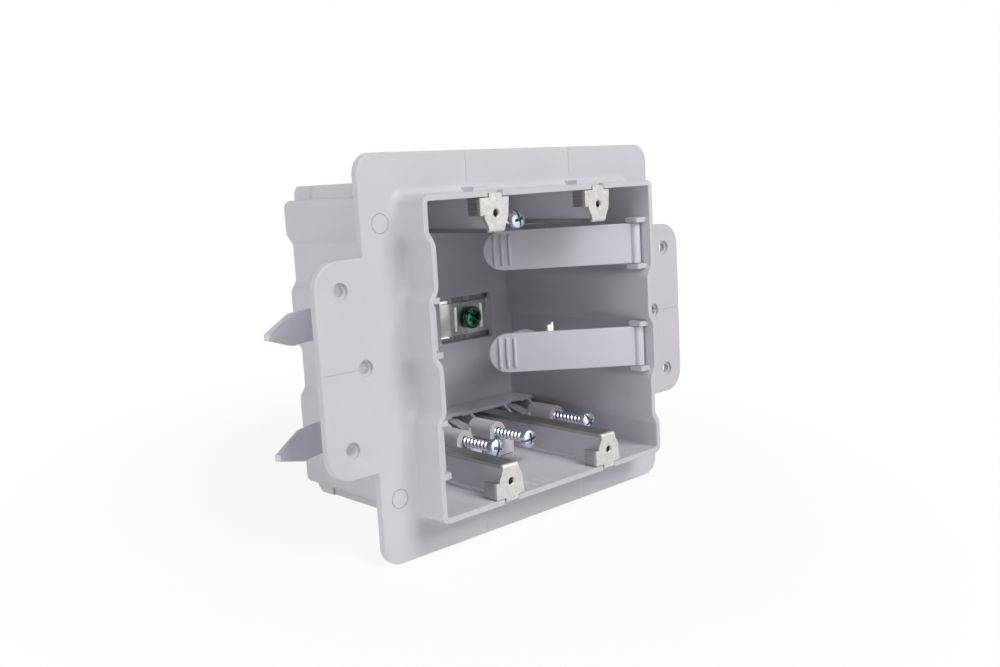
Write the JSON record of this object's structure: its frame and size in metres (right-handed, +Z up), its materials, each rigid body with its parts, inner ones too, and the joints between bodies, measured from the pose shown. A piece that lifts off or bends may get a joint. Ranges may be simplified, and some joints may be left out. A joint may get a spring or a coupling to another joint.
{
  "type": "electrical gang box",
  "caption": "Deep two-gang electrical box with a sealing flange, nail ears, swing-out side claws, steel device straps, screw-driven cable clamps and a ground terminal.",
  "frame": {"origin": "centre of the four outer nail holes, in the plane of the flange's rear face that seats on the stud or form", "axes": "+X to the right seen from the open front, +Y from the open front to the rear wall, +Z up"},
  "size_m": [0.1637, 0.0803, 0.1224],
  "materials": {
    "moulded_plastic": "satin moulded",
    "lever_plastic": "satin moulded",
    "jaw_plastic": "satin moulded",
    "strap_steel": "dull zinc plated",
    "plate_steel": "bright pressed",
    "rivet_steel": "zinc plated",
    "zinc_screw": "bright zinc",
    "green_screw": "dyed green"
  },
  "bodies": {
    "box": {"box_body": "moulded_plastic", "device_strap_left": "strap_steel", "device_strap_right": "strap_steel", "ground_plate": "plate_steel", "ground_screw": "green_screw", "bond_link": "strap_steel", "link_rivet_left_lower": "rivet_steel", "link_rivet_left_upper": "rivet_steel", "link_rivet_right_lower": "rivet_steel", "link_rivet_right_upper": "rivet_steel", "plate_rivet_near": "rivet_steel", "plate_rivet_far": "rivet_steel"},
    "lever_right_upper": {"lever_right_upper": "lever_plastic"},
    "lever_right_lower": {"lever_right_lower": "lever_plastic"},
    "lever_left_upper": {"lever_left_upper": "lever_plastic"},
    "lever_left_lower": {"lever_left_lower": "lever_plastic"},
    "clamp_screw_lower_1": {"clamp_screw_lower_1": "zinc_screw"},
    "clamp_jaw_lower_1": {"clamp_jaw_lower_1": "jaw_plastic"},
    "clamp_screw_lower_2": {"clamp_screw_lower_2": "zinc_screw"},
    "clamp_jaw_lower_2": {"clamp_jaw_lower_2": "jaw_plastic"},
    "clamp_screw_lower_3": {"clamp_screw_lower_3": "zinc_screw"},
    "clamp_jaw_lower_3": {"clamp_jaw_lower_3": "jaw_plastic"},
    "clamp_screw_lower_4": {"clamp_screw_lower_4": "zinc_screw"},
    "clamp_jaw_lower_4": {"clamp_jaw_lower_4": "jaw_plastic"},
    "clamp_screw_upper_1": {"clamp_screw_upper_1": "zinc_screw"},
    "clamp_jaw_upper_1": {"clamp_jaw_upper_1": "jaw_plastic"},
    "clamp_screw_upper_2": {"clamp_screw_upper_2": "zinc_screw"},
    "clamp_jaw_upper_2": {"clamp_jaw_upper_2": "jaw_plastic"},
    "clamp_screw_upper_3": {"clamp_screw_upper_3": "zinc_screw"},
    "clamp_jaw_upper_3": {"clamp_jaw_upper_3": "jaw_plastic"},
    "clamp_screw_upper_4": {"clamp_screw_upper_4": "zinc_screw"},
    "clamp_jaw_upper_4": {"clamp_jaw_upper_4": "jaw_plastic"}
  },
  "joints": [
    {"name": "lever_right_upper_swing", "type": "hinge", "parent": "box", "child": "lever_right_upper", "pos_m": [0.047, -0.0103, 0.02685], "axis": [0, 0, -1], "range_deg": [0, 47.5]},
    {"name": "lever_right_lower_swing", "type": "hinge", "parent": "box", "child": "lever_right_lower", "pos_m": [0.047, -0.0103, -0.0097], "axis": [0, 0, -1], "range_deg": [0, 47.5]},
    {"name": "lever_left_upper_swing", "type": "hinge", "parent": "box", "child": "lever_left_upper", "pos_m": [-0.047, -0.0103, 0.0097], "axis": [0, 0, 1], "range_deg": [-47.5, 0]},
    {"name": "lever_left_lower_swing", "type": "hinge", "parent": "box", "child": "lever_left_lower", "pos_m": [-0.047, -0.0103, -0.02685], "axis": [0, 0, 1], "range_deg": [-47.5, 0]},
    {"name": "clamp_screw_lower_1_drive", "type": "slide", "parent": "box", "child": "clamp_screw_lower_1", "axis": [0, 1, 0], "range_m": [0, 0.012]},
    {"name": "clamp_jaw_lower_1_slide", "type": "slide", "parent": "box", "child": "clamp_jaw_lower_1", "axis": [0, 0, -1], "range_m": [0, 0.003]},
    {"name": "clamp_screw_lower_2_drive", "type": "slide", "parent": "box", "child": "clamp_screw_lower_2", "axis": [0, 1, 0], "range_m": [0, 0.012]},
    {"name": "clamp_jaw_lower_2_slide", "type": "slide", "parent": "box", "child": "clamp_jaw_lower_2", "axis": [0, 0, -1], "range_m": [0, 0.003]},
    {"name": "clamp_screw_lower_3_drive", "type": "slide", "parent": "box", "child": "clamp_screw_lower_3", "axis": [0, 1, 0], "range_m": [0, 0.012]},
    {"name": "clamp_jaw_lower_3_slide", "type": "slide", "parent": "box", "child": "clamp_jaw_lower_3", "axis": [0, 0, -1], "range_m": [0, 0.003]},
    {"name": "clamp_screw_lower_4_drive", "type": "slide", "parent": "box", "child": "clamp_screw_lower_4", "axis": [0, 1, 0], "range_m": [0, 0.012]},
    {"name": "clamp_jaw_lower_4_slide", "type": "slide", "parent": "box", "child": "clamp_jaw_lower_4", "axis": [0, 0, -1], "range_m": [0, 0.003]},
    {"name": "clamp_screw_upper_1_drive", "type": "slide", "parent": "box", "child": "clamp_screw_upper_1", "axis": [0, 1, 0], "range_m": [0, 0.012]},
    {"name": "clamp_jaw_upper_1_slide", "type": "slide", "parent": "box", "child": "clamp_jaw_upper_1", "axis": [0, 0, 1], "range_m": [0, 0.003]},
    {"name": "clamp_screw_upper_2_drive", "type": "slide", "parent": "box", "child": "clamp_screw_upper_2", "axis": [0, 1, 0], "range_m": [0, 0.012]},
    {"name": "clamp_jaw_upper_2_slide", "type": "slide", "parent": "box", "child": "clamp_jaw_upper_2", "axis": [0, 0, 1], "range_m": [0, 0.003]},
    {"name": "clamp_screw_upper_3_drive", "type": "slide", "parent": "box", "child": "clamp_screw_upper_3", "axis": [0, 1, 0], "range_m": [0, 0.012]},
    {"name": "clamp_jaw_upper_3_slide", "type": "slide", "parent": "box", "child": "clamp_jaw_upper_3", "axis": [0, 0, 1], "range_m": [0, 0.003]},
    {"name": "clamp_screw_upper_4_drive", "type": "slide", "parent": "box", "child": "clamp_screw_upper_4", "axis": [0, 1, 0], "range_m": [0, 0.012]},
    {"name": "clamp_jaw_upper_4_slide", "type": "slide", "parent": "box", "child": "clamp_jaw_upper_4", "axis": [0, 0, 1], "range_m": [0, 0.003]}
  ],
  "couplings": [
    {"joint": "clamp_jaw_lower_1_slide", "follows": "clamp_screw_lower_1_drive", "ratio": 0.25},
    {"joint": "clamp_jaw_lower_2_slide", "follows": "clamp_screw_lower_2_drive", "ratio": 0.25},
    {"joint": "clamp_jaw_lower_3_slide", "follows": "clamp_screw_lower_3_drive", "ratio": 0.25},
    {"joint": "clamp_jaw_lower_4_slide", "follows": "clamp_screw_lower_4_drive", "ratio": 0.25},
    {"joint": "clamp_jaw_upper_1_slide", "follows": "clamp_screw_upper_1_drive", "ratio": 0.25},
    {"joint": "clamp_jaw_upper_2_slide", "follows": "clamp_screw_upper_2_drive", "ratio": 0.25},
    {"joint": "clamp_jaw_upper_3_slide", "follows": "clamp_screw_upper_3_drive", "ratio": 0.25},
    {"joint": "clamp_jaw_upper_4_slide", "follows": "clamp_screw_upper_4_drive", "ratio": 0.25}
  ]
}
